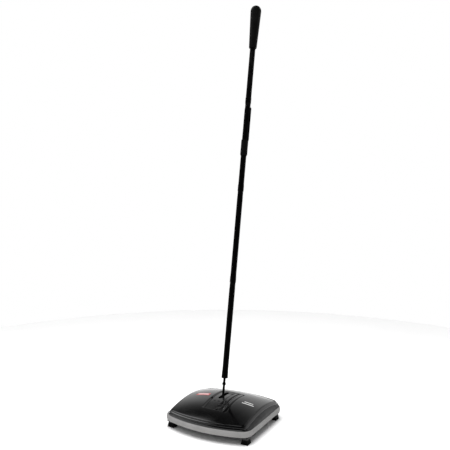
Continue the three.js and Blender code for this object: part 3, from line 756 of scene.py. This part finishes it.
def coil_spring():
    """The coil spring under the button."""
    low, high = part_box("button_spring")
    wire = 0.55 * MM
    radius = (high.x - low.x) / 2 - wire
    travel, top_gap = 5.2 * MM, 0.3 * MM
    turns, steps, sides = 4.5, 24, 8
    count = int(turns * steps)
    rings = []
    for step in range(count + 1):
        angle = 2 * math.pi * step / steps
        height = mix(low.z + wire, high.z - wire - top_gap, smooth(step / count))
        out = Vector((math.cos(angle), math.sin(angle), 0))
        size = wire if 0 < step < count else wire * 0.05
        ring = [out * (radius + a) + Vector((0, 0, height + b)) for a, b in circle(size, sides)]
        rings.append(ring)
    vertices, faces = loft(rings)
    faces += [tuple(range(sides)), tuple(range(len(vertices) - sides, len(vertices)))]
    middle = Vector(((low.x + high.x) / 2, (low.y + high.y) / 2, 0))
    vertices = [vertex + middle for vertex in vertices]
    spring = piece("coil_spring", vertices, faces, "base", ["button_spring"], STEEL, 60)
    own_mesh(spring)


# ---- the head: bumper ----

def bumper():
    low, high = bumper_low.z / MM, bumper_high.z / MM
    outer_face = [
        (7.0, low), (3.2, low), (1.5, low + 0.6), (0.5, low + 1.8), (0.05, low + 3.6),
        (0.0, low + 5.0), (0.0, low + 9.0), (0.1, high - 3.4), (0.5, high - 1.6),
        (1.4, high - 0.45), (2.6, high), (6.2, high), (7.0, high - 0.5),
    ]
    rings = []
    for inset, z in rounded(outer_face, 0.5, 2):
        loop = head_loop(inset * MM, inset * MM)
        rings.append(ring_at(loop, lambda x, y, share: z * MM))
    vertices, faces = loft(rings, closed=True)
    piece("bumper_band", vertices, faces, "base", ["bumper"], BUMPER, 60)


# ---- brushes ----

def strand(vertices, faces, root, tip, radius, bend):
    """One tapered bristle with a slight bend half way."""
    middle = (root + tip) / 2 + bend
    axis = (tip - root).normalized()
    across = axis.orthogonal().normalized()
    beside = axis.cross(across)
    start = len(vertices)
    for centre, size in ((root, 1.0), (middle, 0.95), (tip, 0.6)):
        vertices += [centre + across * a + beside * b for a, b in circle(radius * size, 4)]
    for ring in range(2):
        for step in range(4):
            a = start + ring * 4 + step
            b = start + ring * 4 + (step + 1) % 4
            faces.append((a, b, b + 4, a + 4))
    faces.append(tuple(start + 8 + step for step in range(4)))
    faces.append(tuple(start + step for step in reversed(range(4))))


def corner_brush(node, draw):
    """A bundle of flared bristles under a moulded holder."""
    low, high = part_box(node)
    centre = (low + high) / 2
    top = high.z
    flare, holder_height = 2 * MM, 4 * MM
    half = Vector(((high.x - low.x) / 2 - flare, (high.y - low.y) / 2 - flare))
    vertices, faces = [], []
    rows, jitter = 19, 0.04
    for i in range(rows):
        for j in range(rows):
            u = 2 * i / (rows - 1) - 1 + draw.uniform(-jitter, jitter)
            v = 2 * j / (rows - 1) - 1 + draw.uniform(-jitter, jitter)
            u, v = max(-0.98, min(0.98, u)), max(-0.98, min(0.98, v))
            root = Vector((centre.x + u * half.x * 0.9, centre.y + v * half.y * 0.9, top - 3 * MM))
            reach = Vector((u * (half.x + flare * 0.8), v * (half.y + flare * 0.8), 0))
            tip = Vector((centre.x, centre.y, draw.uniform(0.15, 0.9) * MM)) + reach
            bend = Vector((draw.uniform(-0.3, 0.3), draw.uniform(-0.3, 0.3), 0)) * MM
            strand(vertices, faces, root, tip, 0.42 * MM, bend)
    piece(f"{node}_bristles", vertices, faces, "base", [node], NYLON, 60)
    foot = top - holder_height
    rings = []
    for inset, z in ((0, top), (0, foot + 0.8 * MM), (0.5 * MM, foot), (3 * MM, foot)):
        x, y = half.x - inset, half.y - inset
        outline = closed_rounded([(x, y), (-x, y), (-x, -y), (x, -y)], 2 * MM, 4)
        rings.append([Vector((centre.x + px, centre.y + py, z)) for px, py in outline])
    lid = [point.lerp(Vector((centre.x, centre.y, top)), 0.999) for point in rings[0]]
    base = [point.lerp(Vector((centre.x, centre.y, foot)), 0.999) for point in rings[-1]]
    vertices, faces = loft([lid, *rings, base])
    piece(f"{node}_holder", vertices, faces, "base", (), CHASSIS)


# How far a row of the brush roll winds round it, in radians per metre of its length.
TWIST = math.radians(0.75) / MM


def bristle_row(node, start_angle, draw):
    """Tufts that stand off the core in a row that winds round it."""
    low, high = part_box(node)
    vertices, faces = [], []
    tuft_pitch, tuft_strands, root_radius = 4.2 * MM, 22, 9.3 * MM
    x = low.x + 2 * MM
    while x < high.x - 1.5 * MM:
        for _ in range(tuft_strands):
            px = x + draw.uniform(-1.3, 1.3) * MM
            shift = draw.uniform(-1.1, 1.1) * MM
            angle = start_angle + TWIST * px
            out = Vector((0, -math.sin(angle), math.cos(angle)))
            beside = Vector((0, math.cos(angle), math.sin(angle)))
            root = Vector((px, ROLL.y, ROLL.z)) + out * root_radius + beside * shift
            tip_radius = draw.uniform(24.4, 25.2) * MM
            tip = Vector((px + draw.uniform(-1, 1) * MM, ROLL.y, ROLL.z))
            tip += out * tip_radius + beside * shift * 1.5
            strand(vertices, faces, root, tip, 0.24 * MM, beside * draw.uniform(-0.4, 0.4) * MM)
        x += tuft_pitch
    piece(f"{node}_tufts", vertices, faces, "brush_roll", [node], NYLON, 60)


# ---- wheels ----

def along_x(place):
    return Matrix.Translation(place) @ Matrix.Rotation(math.radians(90), 4, "Y")


def turned_on_axle(name, corner, shape, replaced, material):
    """A wheel's part, turned to lie along X at the wheel's axle."""
    vertices, faces = shape
    vertices = moved(vertices, along_x(Vector(joint_named[f"{corner}_wheel_spin"]["pos_m"])))
    piece(name, vertices, faces, f"{corner}_wheel", [replaced], material, 40)


def wheel(corner):
    """A grooved tyre on a hub with a rim, a web, a boss and six spokes."""
    low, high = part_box(f"{corner}_tyre")
    radius, half = (high.z - low.z) / 2, (high.x - low.x) / 2
    tyre_inner, chamfer = 21.9 * MM, 1.3 * MM
    grooves, groove_pitch, groove_depth = 3, 3.4 * MM, 0.6 * MM
    tread = []
    for index in range(grooves):
        middle = (index - (grooves - 1) / 2) * groove_pitch
        tread += [(radius, middle - 0.7 * MM), (radius - groove_depth, middle - 0.45 * MM)]
        tread += [(radius - groove_depth, middle + 0.45 * MM), (radius, middle + 0.7 * MM)]
    profile = [(tyre_inner, -half), (radius - chamfer, -half), (radius, chamfer - half), *tread]
    profile += [(radius, half - chamfer), (radius - chamfer, half), (tyre_inner, half)]
    tyre = lathe(closed_rounded(profile, 0.3 * MM, 2), 96)
    turned_on_axle(f"{corner}_tread", corner, tyre, f"{corner}_tyre", RUBBER)

    bore, boss, rim = 3.3 * MM, 7 * MM, tyre_inner - 0.15 * MM
    one_side = [
        (bore, half - 0.4 * MM), (boss - 0.4 * MM, half - 0.4 * MM), (boss, 1.6 * MM),
        (rim - 2.6 * MM, 1.3 * MM), (rim - 2.2 * MM, half - 0.3 * MM), (rim, half - 0.3 * MM),
    ]
    outline = [(r, -x) for r, x in one_side] + one_side[::-1]
    hub = lathe(closed_rounded(outline, 0.5 * MM, 3), 96)
    spokes = 6
    for spoke in range(spokes):
        turn = Matrix.Rotation(2 * math.pi * spoke / spokes, 4, "Z")
        add_block(*hub, turn, (6.8 * MM, rim - 2.5 * MM), 0.9 * MM, half - 1.2 * MM)
    turned_on_axle(f"{corner}_hub", corner, hub, f"{corner}_wheel_hub", HUB)


def add_block(vertices, faces, turn, reach, half_width, half_height):
    """A spoke: a thin block from one radius to another."""
    start = len(vertices)
    for x in reach:
        for y in (-half_width, half_width):
            for z in (-half_height, half_height):
                vertices.append(turn @ Vector((x, y, z)))
    for face in ((0, 1, 3, 2), (4, 6, 7, 5), (0, 4, 5, 1), (2, 3, 7, 6), (0, 2, 6, 4), (1, 5, 7, 3)):
        faces.append(tuple(start + index for index in face))


# ---- handle ----

HANDLE = Matrix.Translation(PIVOT) @ Matrix.Rotation(-HANDLE_LEAN, 4, "X")

# All in mm: heights along the handle from the pivot, and radii.
TUBE_START, TUBE_PITCH, TUBE_COUNT = 57.3, 256.2, 4
GRIP_START, GRIP_END = 993.3, 1124.3
TUBE_RADIUS, TUBE_BORE, NECK_RADIUS = 7.95, 7.0, 7.7
SPIGOT_RADIUS, SPIGOT_BORE, SPIGOT_LENGTH = 6.6, 5.8, 30


def handle_piece(name, profile, node, material, segments, closed=True):
    """A piece turned about the handle's axis, from (radius, height) points in mm."""
    vertices, faces = lathe([(r * MM, z * MM) for r, z in profile], segments, closed)
    piece(name, moved(vertices, HANDLE), faces, "handle", [node], material, 38)


def tube(index):
    """A section of the handle: belled at its lower end, and with a neck and spigot at its upper end.

    The last section has a plain upper end inside the grip.
    """
    start = TUBE_START + index * TUBE_PITCH
    profile = [
        (7.4, start + 0.3), (7.9, start), (8.35, start + 0.25), (8.5, start + 0.9), (8.5, start + 15.5),
        (8.4, start + 16.6), (8.1, start + 18.2), (TUBE_RADIUS, start + 19.6),
    ]
    if index == TUBE_COUNT - 1:
        end = GRIP_END - 22
        profile += [(TUBE_RADIUS, end), (TUBE_BORE, end)]
    else:
        end = start + TUBE_PITCH
        profile += [
            (TUBE_RADIUS, end - 17), (7.9, end - 15.6), (7.72, end - 14.4),
            (NECK_RADIUS, end - 13.5), (NECK_RADIUS, end - 0.35),
            (SPIGOT_RADIUS, end - 0.3), (SPIGOT_RADIUS, end + SPIGOT_LENGTH),
            (SPIGOT_BORE, end + SPIGOT_LENGTH), (SPIGOT_BORE, end), (TUBE_BORE, end - 14),
        ]
    profile.append((TUBE_BORE, start + 2))
    number = index + 1
    handle_piece(f"tube_section_{number}", profile, f"handle_tube_{number}", TUBE, 64)


def handle_rod():
    """The rod with a barrel eye on the pivot pin."""
    radius, end = 3.2, TUBE_START + 32
    rod = [(0.0, 4.0), (radius, 4.0), (radius, end - 1), (radius - 0.6, end), (0.0, end)]
    vertices, faces = lathe([(r * MM, z * MM) for r, z in rod], 40, False)
    barrel = closed_rounded([(3.0, -6.5), (5.2, -6.5), (5.2, 6.5), (3.0, 6.5)], 0.6, 3)
    more, more_faces = lathe([(r * MM, z * MM) for r, z in barrel], 40)
    offset = len(vertices)
    vertices += moved(more, Matrix.Rotation(math.radians(90), 4, "Y"))
    faces += [tuple(index + offset for index in face) for face in more_faces]
    vertices = moved(vertices, HANDLE)
    piece("bail_rod", vertices, faces, "handle", ["handle_rod"], TUBE, 40)


def rod_collar():
    """A small nut on the rod, a little below the first tube."""
    start, end = TUBE_START - 18, TUBE_START - 12
    bore, face, radius = 3.5, 4.3, 4.8
    outline = [(bore, start), (face, start), (radius, start + 1)]
    outline += [(radius, end - 1), (face, end), (bore, end)]
    handle_piece("rod_nut", closed_rounded(outline, 0.4, 3), "rod_collar", TUBE, 40)


def hand_sleeve():
    """A collar round the tube that carries on up its back as an open clip."""
    start, collar_end, end = 672.3, 717.5, 814.3
    bore, collar_radius, clip_radius = 8.15, 10.0, 10.9
    collar_reach, clip_reach = math.radians(179.4), math.radians(78)
    steps = 40
    levels = [start, start + 0.6, start + 2.2, start + 4]
    levels += [mix(start + 4, collar_end - 1.5, i / 8) for i in range(1, 9)]
    levels += [collar_end - 0.6, collar_end, collar_end + 0.5]
    levels += [mix(collar_end + 1, end - 6, i / 14) for i in range(15)]
    levels += [end - 4, end - 2.4, end - 1.2, end - 0.5, end]
    rings = []
    for z in levels:
        reach = clip_reach if z > collar_end else collar_reach
        outer = clip_radius if z > collar_end else collar_radius
        if z < start + 4:
            outer = 8.6 + 1.4 * math.sin(math.pi / 2 * (z - start) / 4)
        if z >= end - 2:
            outer -= 0.5 * (z - end + 2)
        angles = [math.pi / 2 - reach + 2 * reach * i / steps for i in range(steps + 1)]
        section = [(outer * math.cos(angle), outer * math.sin(angle)) for angle in angles]
        section += [(bore * math.cos(angle), bore * math.sin(angle)) for angle in reversed(angles)]
        rings.append([HANDLE @ Vector((x * MM, y * MM, z * MM)) for x, y in section])
    vertices, faces = loft(rings)
    count = 2 * (steps + 1)
    last = (len(rings) - 1) * count
    for i in range(steps):
        faces.append((i, i + 1, count - 2 - i, count - 1 - i))
        faces.append((last + i + 1, last + i, last + count - 1 - i, last + count - 2 - i))
    piece("clip_sleeve", vertices, faces, "handle", ["hand_sleeve"], GRIP, 40)


def hand_grip():
    """A long tapered grip that swells to a rounded end, with a soft collar at its foot."""
    bore, foot_radius, top_radius, dome = 8.3, 11.3, 15.75, 17
    taper_start, taper_end, taper_steps, dome_steps = GRIP_START + 2.4, GRIP_END - dome, 30, 14
    profile = [
        (bore, GRIP_START + 0.4), (8.8, GRIP_START), (10.0, GRIP_START + 0.2), (10.9, GRIP_START + 1.0),
        (foot_radius, taper_start),
    ]
    for step in range(1, taper_steps + 1):
        t = step / taper_steps
        profile.append((mix(foot_radius, top_radius, t), mix(taper_start, taper_end, t)))
    for step in range(1, dome_steps):
        angle = math.pi / 2 * step / dome_steps
        profile.append((top_radius * math.cos(angle), taper_end + dome * math.sin(angle)))
    floor = GRIP_END - 14
    profile += [(0.0, GRIP_END), (0.0, floor), (bore, floor), (bore, GRIP_START + 0.4)]
    handle_piece("moulded_grip", profile, "hand_grip", GRIP, 72, False)


# ---- small marks on the cover ----

def cover_plate(name, corners, height, material):
    """A thin plain plate that follows the dome; corners are its plan outline in mm, height its rise."""
    steps_x, steps_y, sunk = 24, 8, 0.1 * MM
    (x0, y0), (x1, y1), (x2, y2), (x3, y3) = corners
    top, low = [], []
    for j in range(steps_y + 1):
        for i in range(steps_x + 1):
            u, v = i / steps_x, j / steps_y
            x = mix(mix(x0, x1, u), mix(x3, x2, u), v) * MM
            y = mix(mix(y0, y1, u), mix(y3, y2, u), v) * MM
            on_edge = i in (0, steps_x) or j in (0, steps_y)
            rise = height * 0.4 if on_edge else height
            top.append(Vector((x, y + HEAD_Y, dome_z(x, y) + rise)))
            low.append(Vector((x, y + HEAD_Y, dome_z(x, y) - sunk)))
    vertices, faces = slab(top, low, steps_x + 1)
    piece(name, vertices, faces, "base", (), material, 50)


def rectangle(left, right, front, back):
    return [(left, front), (right, front), (right, back), (left, back)]


def cover_marks():
    """A plain badge with a stripe on the left, and two slanted dashes on the right."""
    cover_plate("badge_bar", rectangle(-78, -38, -18, -5), 0.3 * MM, BADGE_RED)
    cover_plate("badge_stripe", rectangle(-75, -41, -14.4, -8.6), 0.4 * MM, BADGE_PALE)
    slant, width = 0.16, 3
    for index, (left, right, front) in enumerate(((64, 87, -8), (61, 92, -17))):
        rise = slant * (right - left)
        far = front + rise
        corners = [(left, front), (right, far), (right, far + width), (left, front + width)]
        cover_plate(f"mark_line_{index}", corners, 0.12 * MM, MARK_WHITE)


# ---- CAD nodes that stay, with their finish ----

def dress_nodes():
    finishes = {
        "chassis": CHASSIS, "brush_hood": CHASSIS, "front_dust_pan": PAN, "rear_dust_pan": PAN,
        "brush_core": CORE, "rubber_blade_a": RUBBER, "rubber_blade_b": RUBBER,
        "left_drive_drum": RUBBER, "right_drive_drum": RUBBER, "tube_plug": GRIP,
    }
    replaced = set()
    for thing in bpy.data.objects:
        replaced.update(thing.get("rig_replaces", []))
    for name, node in frame["nodes"].items():
        if name in replaced:
            continue
        paint(node, finishes.get(name, STEEL))
        soft_edges(node, 0.3 * MM, 42)


# ---- floor, light and camera ----

def stage_floor():
    """A round white sheet under the sweeper."""
    radius, rings = 1.55, 24
    vertices, faces = lathe([(radius * ring / rings, 0) for ring in range(rings + 1)], 96, closed=False)
    mesh = mesh_from("floor", moved(vertices, Matrix.Translation((0, HEAD_Y, 0))), faces)
    floor = bpy.data.objects.new("floor", mesh)
    bpy.context.scene.collection.objects.link(floor)
    material, tree, shader = node_material("pale_floor")
    tone = ramp(tree, noise(tree, 3, 2), [(0.3, 0.93), (0.7, 0.95)])
    tree.links.new(tone, shader.inputs["Base Color"])
    shader.inputs["Roughness"].default_value = 0.9
    shader.inputs["Specular IOR Level"].default_value = 0.1
    paint(floor, material)


# How bright the backdrop looks in a reflection: by the direction's height, then by how far left it is.
BACKDROP_HEIGHT = [(0.0, 1.0), (0.5, 1.0), (0.62, 0.72), (0.73, 0.45), (0.81, 0.2), (0.88, 0.04)]
BACKDROP_LEFT = [(0.69, 1.0), (0.77, 0.5), (0.83, 0.26), (0.88, 0.12), (0.97, 0.03)]
SOFTBOX_HEIGHT = [(0.5, 0.0), (0.6, 1.0), (0.88, 1.0), (0.93, 0.0)]


def key_light():
    """A large soft disc above and in front, which neither the camera nor a reflection sees."""
    place, aim = Vector((0.15, -0.6, 2.1)), Vector((0, HEAD_Y, 0))
    data = bpy.data.lights.new("key", "AREA")
    data.shape = "DISK"
    data.size = 1.8
    data.energy = 48
    light = bpy.data.objects.new("key", data)
    light.visible_camera = False
    light.visible_glossy = False
    light.location = place
    light.rotation_euler = (aim - place).to_track_quat("-Z", "Y").to_euler()
    bpy.context.scene.collection.objects.link(light)


def studio():
    """The world: white to the camera, and soft from above and the front left for diffuse light.

    Reflections see a dark ceiling, a white backdrop behind the sweeper, a softbox at its left and a
    paler patch ahead of it on the left.
    """
    world = bpy.data.worlds.new("studio")
    bpy.context.scene.world = world
    world.use_nodes = True
    tree = world.node_tree
    background = tree.nodes["Background"]
    coordinates = tree.nodes.new("ShaderNodeTexCoord")
    split = tree.nodes.new("ShaderNodeSeparateXYZ")
    tree.links.new(coordinates.outputs["Generated"], split.inputs["Vector"])
    up = split.outputs["Z"]
    level = tree.nodes.new("ShaderNodeVectorMath")
    level.operation = "MULTIPLY"
    level.inputs[1].default_value = (1, 1, 0)
    tree.links.new(coordinates.outputs["Generated"], level.inputs[0])
    heading = tree.nodes.new("ShaderNodeVectorMath")
    heading.operation = "NORMALIZE"
    tree.links.new(level.outputs["Vector"], heading.inputs[0])
    flat = tree.nodes.new("ShaderNodeSeparateXYZ")
    tree.links.new(heading.outputs["Vector"], flat.inputs["Vector"])
    leftward = combined(tree, "MULTIPLY", flat.outputs["X"], -1)
    behind = flat.outputs["Y"]
    ahead = combined(tree, "MULTIPLY", behind, -1)
    # Each patch is a strength, then the directions that limit it with their stops.
    patches = (
        (1.0, (up, BACKDROP_HEIGHT), (leftward, BACKDROP_LEFT), (behind, [(0.0, 0.0), (0.25, 1.0)])),
        (4.0, (up, SOFTBOX_HEIGHT), (leftward, [(0.9, 0.0), (0.96, 1.0)])),
        (1.4, (up, [(0.25, 1.0), (0.5, 0.0)]), (leftward, [(0.25, 0.0), (0.45, 1.0)]),
         (ahead, [(0.3, 0.0), (0.5, 1.0)])),
    )
    reflected = None
    for strength, *limits in patches:
        patch = strength
        for factor, stops in limits:
            patch = combined(tree, "MULTIPLY", ramp(tree, factor, stops), patch)
        reflected = patch if reflected is None else combined(tree, "ADD", reflected, patch)
    front_left = combined(tree, "MULTIPLY_ADD", combined(tree, "ADD", leftward, ahead), 0.35)
    front_left.node.inputs[2].default_value = 0.5
    soft = combined(tree, "MULTIPLY", ramp(tree, up, [(0.0, 0.6), (0.9, 1.1)]),
                    ramp(tree, front_left, [(0.0, 0.4), (1.0, 1.0)]))
    path = tree.nodes.new("ShaderNodeLightPath")
    shown = blended(tree, path.outputs["Is Camera Ray"], soft, (1.0, 1.0, 1.0))
    shown = blended(tree, path.outputs["Is Glossy Ray"], shown, reflected)
    tree.links.new(shown, background.inputs["Color"])
    background.inputs["Strength"].default_value = 1.0


def camera():
    azimuth, elevation, distance = math.radians(28.97), math.radians(2.02), 1.4019
    target = Vector((0.0023, HEAD_Y - 0.0006, 0.5305))
    level = math.cos(elevation)
    back = Vector((math.sin(azimuth) * level, -math.cos(azimuth) * level, math.sin(elevation)))
    data = bpy.data.cameras.new("camera")
    data.sensor_width = 36
    data.lens = 42.4
    data.clip_end = 50
    view = bpy.data.objects.new("camera", data)
    view.location = target + back * distance
    view.rotation_euler = back.to_track_quat("Z", "Y").to_euler()
    bpy.context.scene.collection.objects.link(view)
    bpy.context.scene.camera = view


# ---- build ----

draw = random.Random(7)
camera()
top_cover()
center_panel()
release_button()
coil_spring()
bumper()
for end in ("front", "rear"):
    for hand in ("left", "right"):
        corner_brush(f"{end}_{hand}_corner_brush", draw)
        wheel(f"{end}_{hand}")
bristle_row("bristle_row_a", 0.0, draw)
bristle_row("bristle_row_b", math.pi, draw)
handle_rod()
rod_collar()
for section in range(TUBE_COUNT):
    tube(section)
hand_sleeve()
hand_grip()
cover_marks()
dress_nodes()
stage_floor()
studio()
key_light()
bpy.context.scene.view_settings.view_transform = "Standard"
